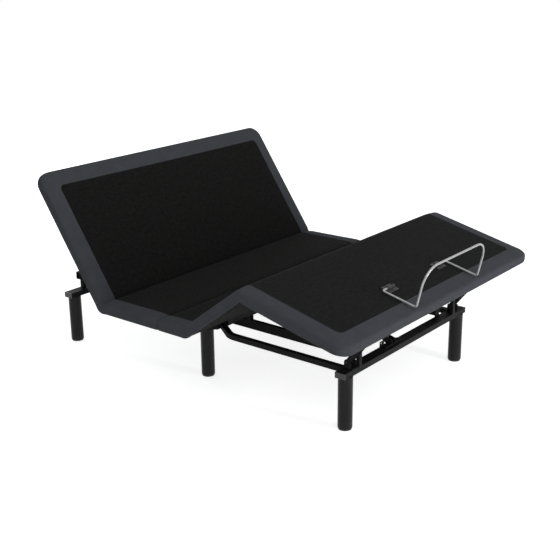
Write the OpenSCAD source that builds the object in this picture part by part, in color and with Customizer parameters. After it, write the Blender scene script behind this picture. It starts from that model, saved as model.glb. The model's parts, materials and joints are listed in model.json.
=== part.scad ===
// Adjustable bed base: a folding steel frame on six round legs that carries four upholstered
// deck sections. Back, thigh and calf sections fold on hinges, driven by two linear actuators.
// X runs across the bed, +Y points to the head, +Z is up. The origin is on the floor, under the
// middle of the whole base.

/* [Deck] */
// Width of the deck
deck_width = 1524; // [1300:2:1930]
// Thickness of each deck section with its cover
deck_thickness = 50; // [46:1:60]
// Thickness of the boards inside the sections
board_thickness = 20; // [15:1:24]
// Back section, from its hinge to the head end
back_length = 665; // [600:1:760]
// Fixed seat, from the seam to the back hinge
seat_head_length = 346; // [330:1:380]
// Fixed seat, from the seam to the thigh hinge
seat_foot_length = 152; // [146:1:170]
// Thigh section, from hinge to knee
thigh_length = 358; // [340:1:400]
// Calf section, from the knee to the foot end
calf_length = 511; // [490:1:560]
// Plan radius of the deck's four corners
corner_radius = 65; // [50:1:90]
// Rounding of the covers' upper edges
edge_top = 16; // [8:1:18]
// Rounding of the covers' lower edges
edge_bottom = 12; // [4:1:14]
// Width of the light border round the dark field
border_width = 81; // [50:1:110]
// Plan radius of the dark field's corners
field_radius = 25; // [10:1:50]
// Thickness of the dark field's cloth
field_thickness = 2.5; // [1.5:0.1:3]
// Width of the cover's rim round a board
rim_width = 22; // [16:1:30]

/* [Pose] */
// Angle of the back section
back_angle = 55.5; // [0:0.5:60]
// Angle of the thigh section
thigh_angle = 37.3; // [0:0.1:40]
// Slope of the calf section down to the foot
calf_drop = 13.5; // [0:0.1:14.5]
// Highest angle of the back section
back_angle_max = 60; // [58:1:64]
// Highest angle of the thigh section
thigh_angle_max = 40; // [38:1:44]

/* [Legs] */
// Height of a leg, from the floor to the rail
leg_height = 232; // [120:1:320]
// Diameter of a leg
leg_diameter = 62; // [40:1:70]
// Height of the plastic glide under a leg
glide_height = 6; // [4:1:12]
// Diameter of the stud that holds a leg
stud_diameter = 10; // [8:1:14]
// How far a stud goes into its leg
stud_reach = 26; // [15:1:40]

/* [Frame] */
// Length of the head and foot rails
rail_length = 978; // [940:2:1100]
// Depth of the rails along the bed
rail_depth = 50; // [40:1:60]
// Height of the rails
rail_height = 25; // [24:1:30]
// Wall of the steel tubes
tube_wall = 2; // [1.2:0.1:3]
// Middle of the head rail, from the seam
head_rail_y = 886; // [850:1:940]
// Middle of the foot rail, from the seam
foot_rail_y = 746; // [720:1:780]
// Inset of a foot side tube from the rail's end
side_tube_inset = 52; // [40:1:70]
// Inset of a head side tube from the rail's end
head_tube_inset = 129; // [125:1:140]
// Width of a side tube
side_tube_width = 26; // [18:1:28]
// Height of a side tube
side_tube_height = 23; // [18:1:24]
// Outer radius of a foot side tube's bend
bend_radius = 100; // [80:1:120]
// Where the bend starts, from the fold
bend_start = 140; // [130:1:160]
// Angle of the bend, inwards to the fold
bend_angle = 34.5; // [28:0.5:36]
// Width of the cross bars at the fold
cross_bar_width = 20; // [16:1:24]
// Height of the cross bars at the fold
cross_bar_height = 12; // [8:1:16]
// Gap between the two halves of the folding frame
fold_gap = 4; // [2:0.5:6]
// How far an inner rail lies inside the side tubes' outer faces
inner_rail_inset = 120; // [115:1:138]
// Width of an inner rail
inner_rail_width = 20; // [16:1:24]
// Height of an inner rail
inner_rail_height = 40; // [34:1:50]
// Side of the uprights between inner rails and bearers
upright_size = 24; // [20:1:28]
// Height of the uprights
upright_height = 24; // [20:1:36]
// Side of the square seat bearers
bearer_size = 25; // [20:1:30]
// Length of the seat bearers
bearer_length = 950; // [760:2:1100]
// How far the middle legs stand inside the side tubes' outer faces
middle_leg_inset = 54; // [45:1:60]
// Position of the middle legs, from the seam
middle_leg_y = 65; // [50:1:80]
// Distance of a corner leg's middle from the rail's end
corner_leg_inset = 37; // [27:1:65]
// Thickness of plates and brackets
plate = 4; // [3:0.5:5]

/* [Under-deck frames] */
// Width of the frame tubes under the moving sections
stringer_width = 20; // [16:1:25]
// Depth of the frame tubes under the moving sections
stringer_depth = 25; // [20:1:28]
// How far these tubes lie inside the inner rails
stringer_inset = 42; // [34:1:77]

/* [Hinges] */
// Distance of the outer hinges from the middle of the bed
hinge_x = 450; // [380:1:520]
// Length of one hinge
hinge_length = 90; // [60:1:120]
// Thickness of a hinge leaf
leaf = 2.5; // [2:0.1:3]
// Length of a hinge leaf on its board
leaf_length = 60; // [40:1:80]
// Radius of a hinge knuckle
knuckle_radius = 6; // [5:0.5:7]
// Radius of a hinge pin
hinge_pin_radius = 3; // [2:0.5:3.5]

/* [Actuators] */
// Distance from the back hinge to its lever's pin
back_lever_radius = 80; // [70:1:84]
// Angle by which that pin sits behind the upright, with the deck flat
back_lever_lead = 20; // [10:1:28]
// Distance from the thigh hinge to its lever's pin
thigh_lever_radius = 95; // [85:1:98]
// Angle by which that pin sits behind the upright, with the deck flat
thigh_lever_lead = 5; // [0:1:12]
// Position of the foot actuator across the bed
foot_actuator_x = -100; // [-160:1:-70]
// Radius of the actuators' outer tubes
barrel_radius = 16; // [15:0.5:18]
// Radius of the actuators' rods
rod_radius = 10; // [8:0.5:11]
// Radius of the pins at both ends of an actuator
drive_pin_radius = 5; // [4:0.5:6]

/* [Foot links] */
// Distance of a link's middle from the side tube's outer face
link_inset = 21; // [15:1:25]
// Outer width of a link
link_width = 36; // [30:1:38]
// Where a link's upper pin sits, from the knee
link_reach = 439; // [434:1:444]
// Depth of that pin below the calf section
link_drop = 14; // [14:1:16]
// Radius of a link's pins
link_pin_radius = 4; // [3:0.5:5]

/* [Mattress retainer] */
// Radius of the retainer rod
retainer_rod = 4.5; // [4:0.25:7]
// Distance of the retainer's sides from the middle of the bed
retainer_x = 252; // [246:1:300]
// Pivot of the retainer, from the knee
retainer_pivot = 330; // [310:1:350]
// Bow of the retainer, from the knee
retainer_bow = 493; // [475:1:500]
// Height of the bow above the deck
retainer_height = 178; // [120:1:240]
// Radius of the bow's upper corners
retainer_corner = 85; // [40:1:100]

/* [Fits] */
// Radial clearance of a pin in its bore
pin_fit = 0.08; // [0.03:0.01:0.1]
// Clearance of a board or field in its pocket
pocket_fit = 0.3; // [0.1:0.1:0.6]
// Side clearance between moving plates
side_fit = 1; // [0.5:0.1:1.5]

/* [Hidden] */
$fn = 48;
charcoal = [0.23, 0.24, 0.26];
field_black = [0.10, 0.10, 0.10];
frame_black = [0.06, 0.06, 0.06];
steel = [0.72, 0.73, 0.75];
zinc = [0.55, 0.56, 0.58];
ply = [0.20, 0.17, 0.14];
plastic = [0.12, 0.12, 0.13];

// Heights, from the floor up
rail_top = leg_height + rail_height;
inner_rail_top = rail_top + inner_rail_height;
bearer_bottom = inner_rail_top + upright_height;
deck_bottom = bearer_bottom + bearer_size;
deck_top = deck_bottom + deck_thickness;
board_depth = deck_thickness - board_thickness;
axis_rise = 2;
axis_depth = board_depth - axis_rise;
axis_z = deck_top - axis_depth;

// Folds
fold_clear = 0.5;
seam_gap = 0.6;
board_inset = 12;
back_v = back_angle_max / 2;
thigh_v = thigh_angle_max / 2;
knee_turn = thigh_angle + calf_drop;
nose_gap = 1;
tip_start = 18;
tip_angle = asin(tip_start / (deck_thickness + nose_gap));
nose_angle = 70;
nose_slack = 1.5;
calf_board_start = deck_thickness + nose_gap + 3;
field_tip = 8;
hinge_places = [-hinge_x, 0, hinge_x];
knuckle_share = 0.34;
relief = 1.5;

// The two hinge lines of the fixed seat, as [y, z] from the seam
back_axis = [seat_head_length, axis_z];
thigh_axis = [-seat_foot_length, axis_z];

// Turns a [y, z] vector about the X axis
function turn(v, a) = [v[0] * cos(a) - v[1] * sin(a), v[0] * sin(a) + v[1] * cos(a)];

// Place of a point of the calf section, s along it from the knee and t below its top
knee_axis = thigh_axis + turn([-thigh_length, axis_depth - deck_thickness], -thigh_angle);
function on_calf_point(s, t) = knee_axis + turn([-s, deck_thickness - t], calf_drop);

// Frame places
side_tube_x = rail_length / 2 - side_tube_inset;
inner_rail_x = side_tube_x - inner_rail_inset;
stringer_x = inner_rail_x - stringer_inset;
corner_leg_x = rail_length / 2 - corner_leg_inset;
middle_leg_x = side_tube_x - middle_leg_inset;
link_x = side_tube_x - link_inset;
head_tube_x = rail_length / 2 - head_tube_inset;
bend_centre_x = side_tube_x - bend_radius;
bend_steps = 16;
head_rail_back = head_rail_y - rail_depth / 2;
foot_rail_back = -foot_rail_y + rail_depth / 2;
foot_rail_front = -foot_rail_y - rail_depth / 2;
half_gap = fold_gap / 2;
bearer_clear = 5;
foot_bearer_y = -seat_foot_length + bearer_clear + bearer_size / 2;
bearer_places = [foot_bearer_y, -40, 40, 150, seat_head_length - 75];
leg_places = [
    [corner_leg_x, head_rail_y],
    [corner_leg_x, -foot_rail_y],
    [middle_leg_x, middle_leg_y]
];
gusset_lip = 4;
gusset_nose = head_tube_x + 16;
bracket_width = 34;
fold_plate_x = [-120, 120];
fold_bolt_y = half_gap + cross_bar_width / 2;
bolt_radius = 3;
bolt_head_radius = 6;
bolt_head_height = 4;

// Rests for the flat deck
pad_height = 5;
foot_post_width = 18;
foot_post_gap = 8;
foot_post_x = link_x - link_width / 2 - foot_post_gap - foot_post_width / 2;
foot_post_depth = 16;
head_post_size = 20;
head_post_x = side_tube_x - 2.3 * head_post_size;
head_bar_half = side_tube_x - 0.75 * head_post_size;
head_bar_depth = 24;
head_bar_height = 31;
head_pad_width = 60;

// Levers and drive pins, flat and at the modelled pose
back_play = [3.8, 6.9];
thigh_play = [2.2, 4.7];
lever_start = 22;
lever_end = 115;
eye_shoulder = 0.5;
eye_half = rod_radius + eye_shoulder;
lever_gap = eye_half + side_fit;
lever_plate = 5;
lever_boss = 19;

// Frame tubes under the moving sections: where they start and stop, and their cross tubes
back_stringer_from = 40;
back_stringer_to = 480;
back_cross_lap = 30;
thigh_stringer_from = 30;
thigh_stringer_stop = 68;
thigh_cross_lap = 25;
calf_stringer_from = 60;
calf_stringer_stop = 86;
calf_cross_lap = 20;
lever_cross = lever_end + stringer_width / 2;
thigh_stringer_end = thigh_length - thigh_stringer_stop;
calf_stringer_start = calf_board_start + calf_stringer_from;
calf_stringer_end = calf_length - calf_stringer_stop;
function lever_pin(r, lead) = [-r * sin(lead), axis_depth + r * cos(lead)];
back_pin = back_axis + turn(
    [-back_lever_radius * sin(back_lever_lead), -back_lever_radius * cos(back_lever_lead)], back_angle);
thigh_pin = thigh_axis + turn(
    [thigh_lever_radius * sin(thigh_lever_lead), -thigh_lever_radius * cos(thigh_lever_lead)], -thigh_angle);
head_tail = [half_gap + cross_bar_width + 8, rail_top + 19];
foot_tail = [foot_rail_back + 12, rail_top + 23];

// Actuators: places along them from the tail pin
rod_bore_fit = 0.5;
eye_radius = 11;
head_gear = [22, 96];
head_barrel_end = 232;
head_rod_length = 150;
foot_gear = [60, 134];
foot_barrel_end = 372;
foot_rod_length = 300;

// Foot links
link_pivot = [-foot_rail_y + 5.6, rail_top + 28];
link_top = on_calf_point(link_reach, deck_thickness + link_drop);
link_vector = link_top - link_pivot;
link_length = norm(link_vector);
link_angle = atan2(link_vector[1], -link_vector[0]);
link_plate = 3;
link_half_height = 10;
link_web_inset = 26;
track_slack = 1.3;
track_travel = [-13, 6];

// Retainer
retainer_rise = 7.5;
retainer_bend = 12;
retainer_inner = 170;
retainer_plate_from = 162;
retainer_plate_to = 227;
retainer_plate_length = 50;
retainer_plate_lead = 25;
retainer_plate_height = 2.5;
retainer_saddle_wall = 2;
retainer_saddle_margin = 6;

// Ends of the whole base along the bed, and the shift that centres it
head_end = head_rail_y + max(leg_diameter, rail_depth) / 2;
foot_end = on_calf_point(retainer_bow, -retainer_height)[0] - retainer_rod;
centre_shift = -(head_end + foot_end) / 2;

// ---------------------------------------------------------------------------------------------
// Helpers

// Points of an arc
function arc(centre, r, a0, a1, n) =
    [for (i = [0:n]) let (a = a0 + (a1 - a0) * i / n) centre + r * [cos(a), sin(a)]];

// Draws a y-z outline right through along X
module along_x(length) {
    rotate([90, 0, 90])
        linear_extrude(length, center = true)
            children();
}

// Draws an x-z outline along Y, from y0 to y1
module along_y(y0, y1) {
    translate([0, y1, 0])
        rotate([90, 0, 0])
            linear_extrude(y1 - y0)
                children();
}

// A round bar along X, centred
module bar_x(r, length) {
    rotate([0, 90, 0])
        cylinder(r = r, h = length, center = true);
}

// A box from its lowest to its highest corner
module box(low, high) {
    translate(low)
        cube(high - low);
}

// A box tube along X, centred in X and Y, its bottom at z = 0
module tube_x(length, depth, height) {
    difference() {
        translate([-length / 2, -depth / 2, 0])
            cube([length, depth, height]);
        translate([-length / 2 - 1, -depth / 2 + tube_wall, tube_wall])
            cube([length + 2, depth - 2 * tube_wall, height - 2 * tube_wall]);
    }
}

// A box tube along Y from y0 to y1, centred in X, its bottom at z = 0
module tube_y(y0, y1, width, height) {
    difference() {
        translate([-width / 2, y0, 0])
            cube([width, y1 - y0, height]);
        translate([-width / 2 + tube_wall, y0 - 1, tube_wall])
            cube([width - 2 * tube_wall, y1 - y0 + 2, height - 2 * tube_wall]);
    }
}

// Both sides of the bed
module both_sides() {
    children();
    mirror([1, 0, 0])
        children();
}

// Puts what is drawn from the seam at its place from the origin
module placed() {
    translate([0, centre_shift, 0])
        children();
}

// The five section frames: x across, y along the section away from its hinge, z = 0 at its top
module on_back() {
    placed()
        translate([0, back_axis[0], back_axis[1]])
            rotate([back_angle, 0, 0])
                translate([0, 0, axis_depth])
                    children();
}

module on_seat_head() {
    placed()
        translate([0, back_axis[0], deck_top])
            mirror([0, 1, 0])
                children();
}

module on_seat_foot() {
    placed()
        translate([0, thigh_axis[0], deck_top])
            children();
}

module on_thigh() {
    placed()
        translate([0, thigh_axis[0], thigh_axis[1]])
            rotate([-thigh_angle, 0, 0])
                translate([0, 0, axis_depth])
                    mirror([0, 1, 0])
                        children();
}

module on_calf() {
    placed()
        translate([0, knee_axis[0], knee_axis[1]])
            rotate([calf_drop, 0, 0])
                translate([0, 0, deck_thickness])
                    mirror([0, 1, 0])
                        children();
}

// ---------------------------------------------------------------------------------------------
// Deck shapes, drawn in a section frame

// Cross-section of the upholstered slab, as [x, z] points
function slab_points(w) = concat(
    arc([w - edge_top, -edge_top], edge_top, 0, 90, 6),
    arc([edge_top - w, -edge_top], edge_top, 90, 180, 6),
    arc([edge_bottom - w, edge_bottom - deck_thickness], edge_bottom, 180, 270, 4),
    arc([w - edge_bottom, edge_bottom - deck_thickness], edge_bottom, 270, 360, 4)
);

// Plan of a panel between two places along the section, with round corners at its far end
module panel_plan(width, from, to, corner) {
    half = width / 2;
    polygon(concat(
        [[-half, from], [half, from]],
        arc([half - corner, to - corner], corner, 0, 90, 8),
        arc([corner - half, to - corner], corner, 90, 180, 8)
    ));
}

// One thin layer of the end slab, inset from its outline
module slab_layer(length, inset, z) {
    skin = 0.01;
    translate([0, 0, z - skin])
        linear_extrude(skin)
            panel_plan(deck_width - 2 * inset, 0, length - inset, corner_radius - inset);
}

// Slab with a free end: its edges and its two far corners are round
module end_slab(length) {
    steps = 4;
    skin = 0.01;
    hull() {
        for (i = [0:steps])
            let (a = 90 * i / steps)
                slab_layer(length, edge_top * (1 - cos(a)), -edge_top * (1 - sin(a)));
        for (i = [0:steps])
            let (a = 90 * i / steps)
                slab_layer(length, edge_bottom * (1 - cos(a)),
                    skin - deck_thickness + edge_bottom * (1 - sin(a)));
    }
}

// Slab that runs through at full width
module middle_slab(from, to) {
    along_y(from, to)
        polygon(slab_points(deck_width / 2));
}

// Fold face: upright below the hinge line, leaning back above it by half the fold's travel
function fold_face(half_turn) = [
    [fold_clear, -deck_thickness - 1],
    [fold_clear, -axis_depth],
    [fold_clear + (axis_depth + 1) * tan(half_turn), 1]
];

// Start of the field at such a fold
function field_start(half_turn) = fold_clear + axis_depth * tan(half_turn);

// Side outline of a section that folds at its near end
module fold_outline(half_turn, length) {
    polygon(concat(fold_face(half_turn), [[length + 1, 1], [length + 1, -deck_thickness - 1]]));
}

// Side outline of the calf section, coved to turn round the knee's nose
module calf_outline(length) {
    cove = deck_thickness + nose_gap;
    polygon(concat(
        [[nose_slack * 3, -deck_thickness - 1], [nose_slack * 3, -deck_thickness]],
        arc([0, -deck_thickness], cove, 90 - nose_angle - nose_slack, 90 - tip_angle, 10),
        [[tip_start, 1], [length + 1, 1], [length + 1, -deck_thickness - 1]]
    ));
}

// Half-round nose at the knee, turned about the knee's hinge line
module knee_nose() {
    translate([0, thigh_length, -deck_thickness])
        rotate([0, -90, 0])
            rotate_extrude(angle = nose_angle)
                polygon([for (p = slab_points(deck_width / 2)) [deck_thickness + p[1], p[0]]]);
}

// Ring of cloth round the nose, from one depth to another
module nose_field(width, low, high) {
    translate([0, thigh_length, -deck_thickness])
        rotate([0, -90, 0])
            rotate_extrude(angle = nose_angle)
                translate([deck_thickness - low, -width / 2])
                    square([low - high, width]);
}

// Board of a section, and the pocket for it
module board_shape(from, to, corner, fit) {
    translate([0, 0, -deck_thickness])
        linear_extrude(board_thickness)
            panel_plan(deck_width - 2 * rim_width + 2 * fit, from - fit, to + fit, corner);
}

module board_pocket(from, to, corner) {
    translate([0, 0, -deck_thickness - 1])
        linear_extrude(board_thickness + 1)
            panel_plan(deck_width - 2 * rim_width + 2 * pocket_fit, from - pocket_fit, to + pocket_fit, corner);
}

// Field cloth of a section, and the recess for it
module field_shape(from, to, corner) {
    translate([0, 0, -field_thickness])
        linear_extrude(field_thickness)
            panel_plan(deck_width - 2 * border_width, from, to, corner);
}

module field_recess(from, to, corner) {
    translate([0, 0, -field_thickness])
        linear_extrude(field_thickness + 1)
            panel_plan(deck_width - 2 * border_width + 2 * pocket_fit, from, to + pocket_fit, corner);
}

// Room for the hinges whose line lies in the deck
module hinge_relief() {
    for (x = hinge_places)
        translate([x, 0, 0]) {
            translate([0, 0, -axis_depth])
                bar_x(knuckle_radius + relief, hinge_length + 2 * relief);
            box([-hinge_length / 2 - relief, -relief, -board_depth],
                [hinge_length / 2 + relief, leaf_length + relief, leaf + pocket_fit - board_depth]);
        }
}

// Room for the hinges on the deck's underside, at a place along the section
module knee_relief(place) {
    for (x = hinge_places)
        translate([x, place, -deck_thickness])
            bar_x(knuckle_radius + relief, hinge_length + 2 * relief);
}

// One hinge leaf with its knuckles; middle is true for the leaf with the middle knuckle
module hinge_leaf(length, axis, face, middle) {
    share = hinge_length * knuckle_share;
    difference() {
        union() {
            box([-hinge_length / 2, 0, face], [hinge_length / 2, length, face + leaf]);
            translate([0, 0, axis])
                bar_x(knuckle_radius, hinge_length);
        }
        translate([0, 0, axis])
            if (middle)
                for (side = [-1, 1])
                    translate([side * (hinge_length / 2 + 1 - (hinge_length - share) / 4), 0, 0])
                        bar_x(knuckle_radius + relief, (hinge_length - share) / 2 + 2);
            else
                bar_x(knuckle_radius + relief, share + 2 * side_fit);
        translate([0, 0, axis])
            bar_x(hinge_pin_radius + pin_fit, hinge_length + 4);
    }
}

module hinge_leaves(length, axis, face, middle) {
    color(zinc)
        for (x = hinge_places)
            translate([x, 0, 0])
                hinge_leaf(length, axis, face, middle);
}

// ---------------------------------------------------------------------------------------------
// Fixed frame

// Holes for the leg studs, cut up through a rail's lower wall
module stud_holes() {
    for (place = leg_places)
        both_sides()
            translate([place[0], place[1], leg_height - 1])
                cylinder(r = stud_diameter / 2 + pin_fit, h = tube_wall + 2);
}

module head_rail() {
    color(frame_black)
        placed()
            difference() {
                translate([0, head_rail_y, leg_height])
                    tube_x(rail_length, rail_depth, rail_height);
                stud_holes();
            }
}

module foot_rail() {
    color(frame_black)
        placed()
            difference() {
                translate([0, -foot_rail_y, leg_height])
                    tube_x(rail_length, rail_depth, rail_height);
                stud_holes();
            }
}

module rail_end_caps() {
    cap = 3;
    plug = 14;
    inner = [rail_depth - 2 * tube_wall - pocket_fit, rail_height - 2 * tube_wall - pocket_fit];
    color(plastic)
        placed()
            for (y = [head_rail_y, -foot_rail_y])
                both_sides()
                    translate([rail_length / 2, y, leg_height + rail_height / 2]) {
                        translate([0, -rail_depth / 2, -rail_height / 2])
                            cube([cap, rail_depth, rail_height]);
                        translate([-plug, -inner[0] / 2, -inner[1] / 2])
                            cube([plug, inner[0], inner[1]]);
                    }
}

// One side of the bent tube in plan, at a given radius round the bend, from a rail down to the fold
function bent_edge(radius, reach, fold) = concat(
    [[bend_centre_x + radius, reach]],
    [for (i = [0:bend_steps]) let (turn = bend_angle * i / bend_steps)
        [bend_centre_x + radius * cos(turn), bend_start - radius * sin(turn)]],
    [[
        bend_centre_x + radius * cos(bend_angle)
            - (bend_start - radius * sin(bend_angle) - fold) * tan(bend_angle),
        fold
    ]]
);

function reversed(points) = [for (i = [len(points) - 1:-1:0]) points[i]];

// Plan of the bent foot side tube, its section inset on both sides
module bent_tube_plan(reach, fold, inset) {
    polygon(concat(
        bent_edge(bend_radius - inset, reach, fold),
        reversed(bent_edge(bend_radius - side_tube_width + inset, reach, fold))
    ));
}

// Hollow bent tube from the fold to a rail at y = reach, open at both ends
module bent_tube(reach) {
    translate([0, 0, rail_top - side_tube_height])
        difference() {
            linear_extrude(side_tube_height)
                bent_tube_plan(reach, half_gap, 0);
            translate([0, 0, tube_wall])
                linear_extrude(side_tube_height - 2 * tube_wall)
                    bent_tube_plan(reach + 1, half_gap - 1, tube_wall);
        }
}

module head_side_tubes() {
    color(frame_black)
        placed()
            both_sides()
                translate([head_tube_x - side_tube_width / 2, 0, rail_top - side_tube_height])
                    tube_y(half_gap, head_rail_back, side_tube_width, side_tube_height);
}

module foot_side_tubes() {
    color(frame_black)
        placed()
            mirror([0, 1, 0])
                both_sides()
                    bent_tube(-foot_rail_back);
}

// Inner face of a bent foot side tube at a distance from the fold
function bent_inner_x(y) =
    bend_centre_x + (bend_radius - side_tube_width) * cos(bend_angle)
        - (bend_start - (bend_radius - side_tube_width) * sin(bend_angle) - y) * tan(bend_angle);

module fold_cross_bars() {
    near = half_gap;
    far = half_gap + cross_bar_width;
    head_x = head_tube_x - side_tube_width;
    color(frame_black)
        placed()
            translate([0, 0, rail_top - cross_bar_height]) {
                box([-head_x, near, 0], [head_x, far, cross_bar_height]);
                linear_extrude(cross_bar_height)
                    polygon([
                        [-bent_inner_x(near), -near],
                        [bent_inner_x(near), -near],
                        [bent_inner_x(far), -far],
                        [-bent_inner_x(far), -far]
                    ]);
            }
}

module inner_rails() {
    color(frame_black)
        placed()
            both_sides()
                translate([inner_rail_x, 0, rail_top]) {
                    tube_y(half_gap, head_rail_back - plate, inner_rail_width, inner_rail_height);
                    tube_y(foot_rail_back + plate, -half_gap, inner_rail_width, inner_rail_height);
                }
}

// Upright plates that join the inner rails to the head and foot rails
module inner_rail_brackets() {
    low = leg_height + plate;
    color(frame_black)
        placed()
            both_sides()
                translate([inner_rail_x - bracket_width / 2, 0, 0]) {
                    box([0, head_rail_back - plate, low], [bracket_width, head_rail_back, inner_rail_top]);
                    box([0, foot_rail_back, low], [bracket_width, foot_rail_back + plate, inner_rail_top]);
                }
}

module fold_plates() {
    reach = half_gap + cross_bar_width;
    color(zinc)
        placed()
            for (x = fold_plate_x)
                difference() {
                    box([x - 20, -reach, rail_top], [x + 20, reach, rail_top + plate]);
                    for (side = [-1, 1])
                        translate([x, side * fold_bolt_y, rail_top - 1])
                            cylinder(r = bolt_radius + pin_fit, h = plate + 2);
                }
}

module fold_bolts() {
    color(steel)
        placed()
            for (x = fold_plate_x)
                for (side = [-1, 1])
                    translate([x, side * fold_bolt_y, rail_top]) {
                        cylinder(r = bolt_radius, h = plate);
                        translate([0, 0, plate])
                            cylinder(r = bolt_head_radius, h = bolt_head_height);
                    }
}

module seat_bearers() {
    color(frame_black)
        placed()
            for (y = bearer_places)
                translate([0, y, bearer_bottom])
                    tube_x(bearer_length, bearer_size, bearer_size);
}

module bearer_uprights() {
    color(frame_black)
        placed()
            for (y = bearer_places)
                both_sides()
                    translate([inner_rail_x, 0, inner_rail_top])
                        tube_y(y - upright_size / 2, y + upright_size / 2, upright_size, upright_height);
}

module foot_rest_posts() {
    color(frame_black)
        placed()
            both_sides()
                box([foot_post_x - foot_post_width / 2, foot_rail_front, rail_top],
                    [foot_post_x + foot_post_width / 2, foot_rail_front + foot_post_depth,
                        deck_bottom - pad_height]);
}

module head_rest_bar() {
    bar_bottom = deck_bottom - pad_height - head_bar_height;
    color(frame_black)
        placed() {
            translate([0, head_rail_y, bar_bottom])
                tube_x(2 * head_bar_half, head_bar_depth, head_bar_height);
            both_sides()
                box([head_post_x - head_post_size / 2, head_rail_y - head_post_size / 2, rail_top],
                    [head_post_x + head_post_size / 2, head_rail_y + head_post_size / 2, bar_bottom]);
        }
}

// Felt pads that the flat back and calf sections come down on
module rest_pads() {
    low = deck_bottom - pad_height;
    felt = pad_height - pocket_fit;
    color(plastic)
        placed()
            both_sides() {
                box([foot_post_x - foot_post_width / 2, foot_rail_front, low],
                    [foot_post_x + foot_post_width / 2, foot_rail_front + foot_post_depth, low + felt]);
                box([head_post_x - head_pad_width / 2, head_rail_y - head_bar_depth / 2, low],
                    [head_post_x + head_pad_width / 2, head_rail_y + head_bar_depth / 2, low + felt]);
            }
}

module legs() {
    edge = 2;
    color(frame_black)
        placed()
            for (place = leg_places)
                both_sides()
                    translate([place[0], place[1], 0])
                        difference() {
                            union() {
                                translate([0, 0, glide_height])
                                    cylinder(r1 = leg_diameter / 2 - edge, r2 = leg_diameter / 2, h = edge);
                                translate([0, 0, glide_height + edge])
                                    cylinder(r = leg_diameter / 2, h = leg_height - glide_height - edge);
                            }
                            translate([0, 0, leg_height - stud_reach - 1])
                                cylinder(r = stud_diameter / 2 + pin_fit, h = stud_reach + 2);
                        }
}

module leg_glides() {
    color(plastic)
        placed()
            for (place = leg_places)
                both_sides()
                    translate([place[0], place[1], 0])
                        cylinder(r = leg_diameter / 2 - 3, h = glide_height);
}

module leg_studs() {
    color(steel)
        placed()
            both_sides()
                for (place = leg_places)
                    translate([place[0], place[1], leg_height - stud_reach])
                        cylinder(r = stud_diameter / 2, h = stud_reach + tube_wall);
}

// Pressed brackets that carry the middle legs beside the head side tubes
module leg_gussets() {
    near = half_gap + gusset_lip;
    far = middle_leg_y + leg_diameter / 2 + gusset_lip;
    out = middle_leg_x + leg_diameter / 2 + gusset_lip;
    shoulder = near + (out - gusset_nose) / tan(bend_angle);
    rim = [[head_tube_x, near], [gusset_nose, near], [out, shoulder], [out, far], [head_tube_x, far]];
    color(frame_black)
        placed()
            both_sides()
                difference() {
                    translate([0, 0, leg_height])
                        union() {
                            linear_extrude(rail_height - side_tube_height) {
                                polygon(rim);
                                translate([head_tube_x - side_tube_width, near])
                                    square([side_tube_width, far - near]);
                            }
                            linear_extrude(rail_height)
                                difference() {
                                    polygon(rim);
                                    offset(delta = -plate)
                                        polygon(rim);
                                }
                        }
                    stud_holes();
                }
}

// Two ears for a pin along X at a [y, z] place, standing on a base plate that runs from y0 to y1
module clevis(pin, y0, y1, gap, radius) {
    thickness = plate;
    for (side = [-1, 1])
        translate([side * (gap + thickness / 2), 0, 0])
            difference() {
                union() {
                    along_x(thickness)
                        polygon([
                            [y0, rail_top], [y1, rail_top],
                            [pin[0] + radius * cos(30), pin[1] - radius * sin(30)],
                            [pin[0] - radius * cos(60), pin[1] + radius * sin(60)],
                            [min(y0, pin[0] - radius), pin[1]]
                        ]);
                    translate([0, pin[0], pin[1]])
                        bar_x(radius, thickness);
                }
                translate([0, pin[0], pin[1]])
                    bar_x(drive_pin_radius + pin_fit, thickness + 2);
                box([-thickness, min(y0, pin[0]) - 2 * radius, rail_top - 2 * radius],
                    [thickness, max(y1, pin[0]) + 2 * radius, rail_top + plate]);
            }
}

module actuator_clevises() {
    head_far = half_gap + cross_bar_width;
    foot_near = foot_rail_front + 20;
    tab = [41, 3, 23];
    tab_hole = 4.5;
    wing = 66;
    color(frame_black)
        placed() {
            box([-40, half_gap, rail_top], [40, head_far, rail_top + plate]);
            clevis(head_tail, half_gap, head_far, lever_gap, 12);
            translate([foot_actuator_x, 0, 0]) {
                box([-wing, foot_near, rail_top], [wing, foot_rail_back, rail_top + plate]);
                clevis(foot_tail, foot_near, foot_rail_back, lever_gap, 12);
                difference() {
                    translate([-wing, foot_rail_back - tab[1], rail_top + plate])
                        cube([tab[0] - 10, tab[1], tab[2] - plate]);
                    translate([-wing + 10, foot_rail_back, rail_top + 15])
                        rotate([90, 0, 0])
                            cylinder(r = tab_hole, h = 20, center = true);
                }
            }
        }
}

// Pins of the actuators' tails and of the foot links' lower ends
module pivot_pins() {
    drive_length = 2 * (lever_gap + plate) + 4;
    color(steel)
        placed() {
            translate([0, head_tail[0], head_tail[1]])
                bar_x(drive_pin_radius, drive_length);
            translate([foot_actuator_x, foot_tail[0], foot_tail[1]])
                bar_x(drive_pin_radius, drive_length);
            both_sides()
                translate([link_x, link_pivot[0], link_pivot[1]])
                    bar_x(link_pin_radius, link_width + 2 * (side_fit + plate) + 4);
        }
}

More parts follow.
